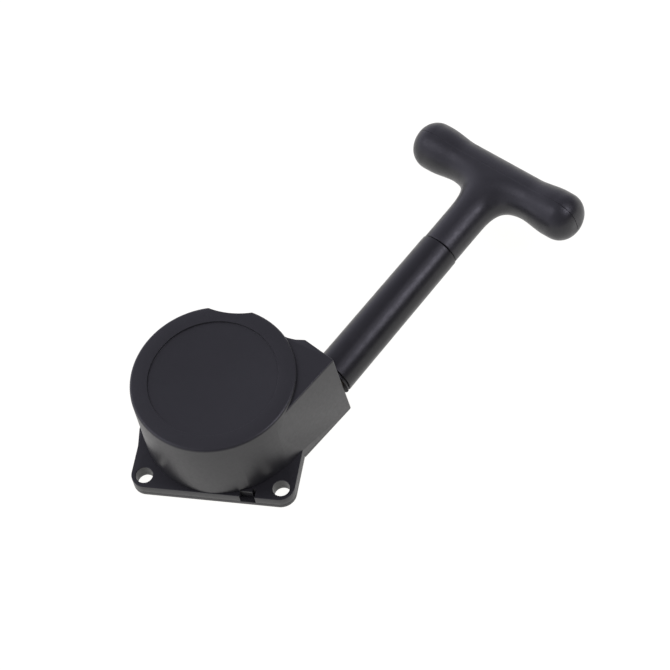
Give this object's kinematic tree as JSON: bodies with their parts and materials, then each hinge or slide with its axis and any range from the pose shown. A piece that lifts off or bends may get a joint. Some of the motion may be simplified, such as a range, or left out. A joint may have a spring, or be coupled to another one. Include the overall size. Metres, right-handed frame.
{
  "type": "recoil starter",
  "caption": "Pull starter for a small model engine: round case on a square bolt flange, side rope outlet, guide tube and T-grip.",
  "frame": {"origin": "on the pulley's axis, in the mounting face that meets the engine", "axes": "+Z from the engine to the cap, X and Y along the flange's edges; the rope leaves at 60.5 degrees from +X towards +Y, rising 4.2 degrees"},
  "size_m": [0.0813, 0.0846, 0.0193],
  "materials": {
    "case_plastic": "satin moulded",
    "grip_rubber": "soft satin",
    "pulley_nylon": "satin",
    "cage_nylon": "satin",
    "fastener_steel": "ground",
    "spring_steel": "blued",
    "eyelet_brass": "polished",
    "rope": "braided"
  },
  "bodies": {
    "case": {"housing": "case_plastic", "retainer_plate": "case_plastic", "rope_bush": "eyelet_brass", "retaining_screw": "fastener_steel", "retaining_washer": "fastener_steel", "spring_plate": "fastener_steel", "recoil_spring": "spring_steel"},
    "pulley_unit": {"pulley": "pulley_nylon", "rope_coil": "rope", "clutch_cup": "fastener_steel", "clutch_cage": "cage_nylon", "clutch_roller_1": "fastener_steel", "clutch_roller_2": "fastener_steel", "clutch_roller_3": "fastener_steel", "clutch_roller_4": "fastener_steel", "clutch_roller_5": "fastener_steel", "clutch_roller_6": "fastener_steel", "clutch_leaf_1": "spring_steel", "clutch_leaf_2": "spring_steel", "clutch_leaf_3": "spring_steel", "clutch_leaf_4": "spring_steel", "clutch_leaf_5": "spring_steel", "clutch_leaf_6": "spring_steel"},
    "rope_line": {"pull_rope": "rope", "rope_knot": "rope", "knot_washer": "fastener_steel"},
    "handle": {"handle_tube": "grip_rubber", "t_grip": "grip_rubber"}
  },
  "joints": [
    {"name": "handle_pull", "type": "slide", "parent": "case", "child": "rope_line", "axis": [0.4911, 0.868, 0.0732], "range_m": [0, 0.3], "stiffness_N_per_m": 15, "springref_m": -0.2, "deforming": ["pull_rope"]},
    {"name": "pulley_spin", "type": "hinge", "parent": "case", "child": "pulley_unit", "pos_m": [0, 0, 0], "axis": [0, 0, 1], "range_deg": [0, 1470], "deforming": ["recoil_spring"]},
    {"name": "handle_turn", "type": "hinge", "parent": "rope_line", "child": "handle", "pos_m": [0.0195, 0.00888, 0.007], "axis": [0.4911, 0.868, 0.0732], "range_deg": [-180, 180]}
  ],
  "couplings": [
    {"joint": "pulley_spin", "follows": "handle_pull", "rad_per_m": 85}
  ]
}
